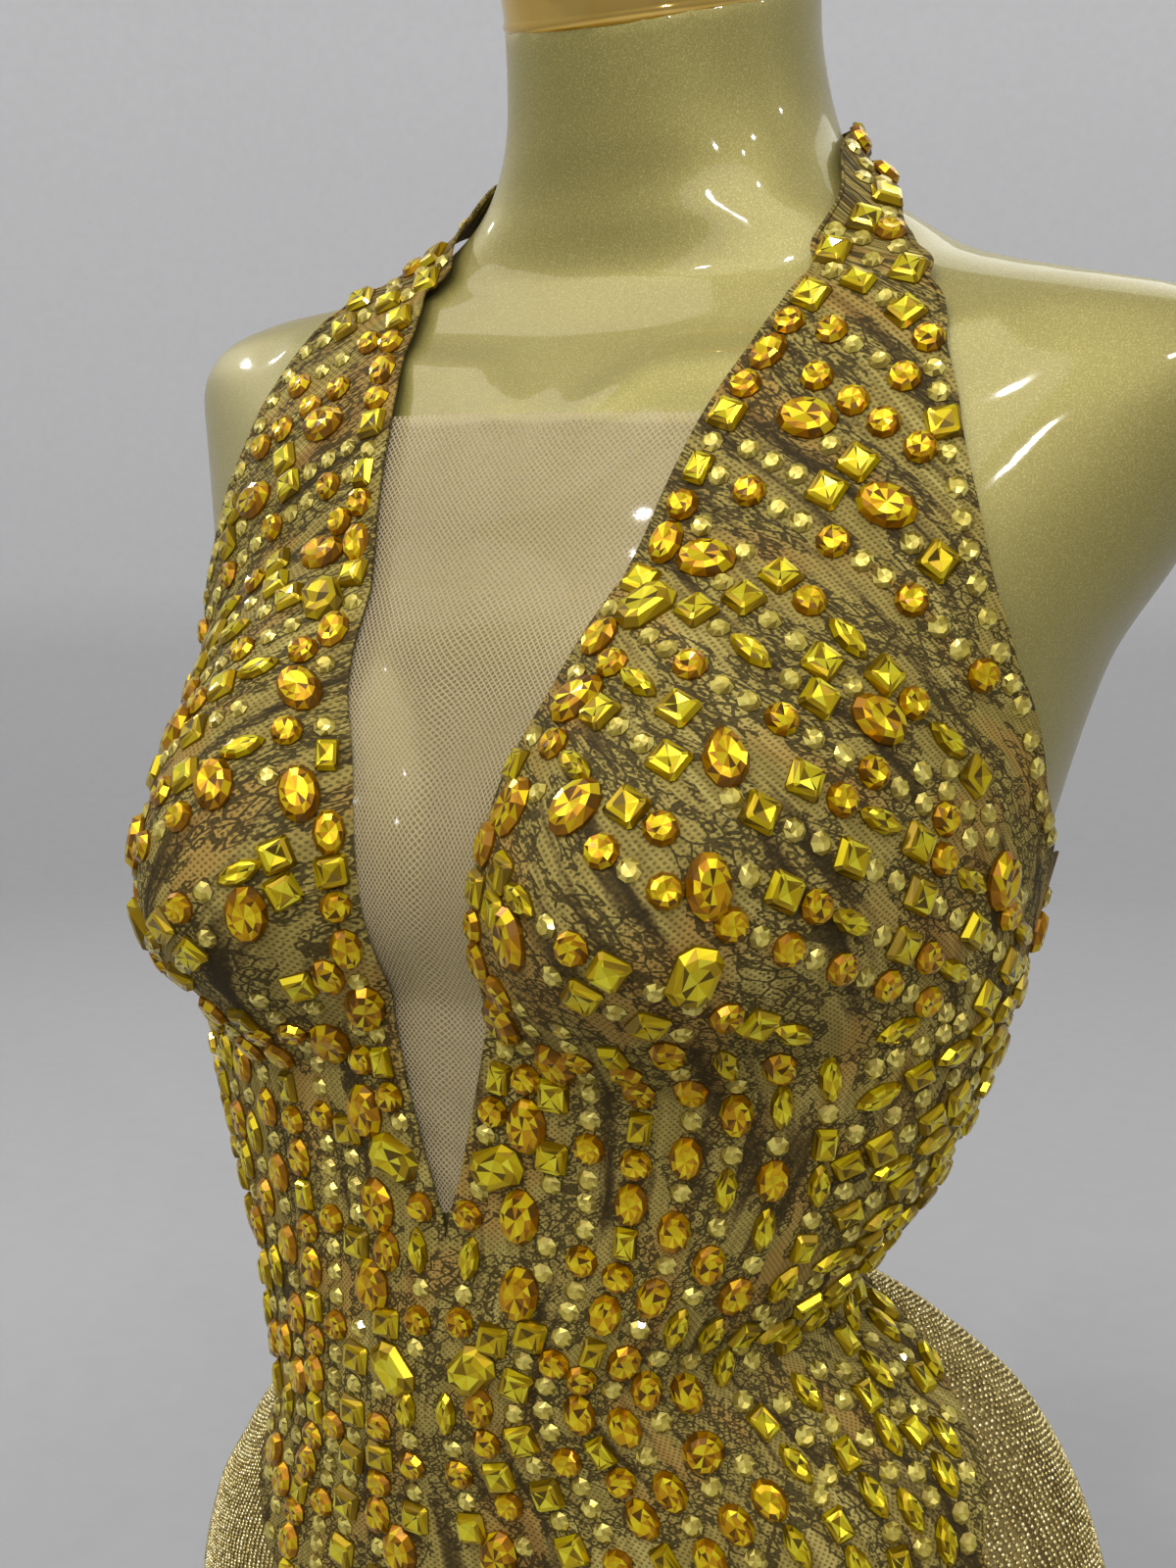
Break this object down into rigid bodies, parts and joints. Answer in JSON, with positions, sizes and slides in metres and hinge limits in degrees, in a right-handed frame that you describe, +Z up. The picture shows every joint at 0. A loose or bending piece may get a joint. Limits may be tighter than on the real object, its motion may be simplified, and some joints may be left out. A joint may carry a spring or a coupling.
{
  "type": "rhinestone bodysuit on a torso dress form",
  "caption": "Halter bodysuit of printed mesh set with amber stones, deep plunge with a net inset and hips of fine beads, on a smooth gold torso form with short thigh ends.",
  "frame": {"origin": "on the ground under the middle of the whole, where the form stands on its two thigh ends", "axes": "+Z up, the front faces -Y, the wearer's left is +X"},
  "size_m": [0.396, 0.2702, 0.8233],
  "materials": {
    "printed_mesh": "printed stretch mesh set with amber stones",
    "beaded_mesh": "stretch mesh covered with fine gold beads",
    "nude_net": "fine sheer net",
    "gold_paint": "glossy champagne gold paint on glass fibre",
    "polished_gold": "polished"
  },
  "bodies": {
    "root": {"front_left": "printed_mesh", "front_right": "printed_mesh", "back_panel": "printed_mesh", "seat_panel": "beaded_mesh", "net_inset": "nude_net", "gusset": "printed_mesh", "form_torso": "gold_paint", "neck_cap": "polished_gold"}
  },
  "joints": []
}
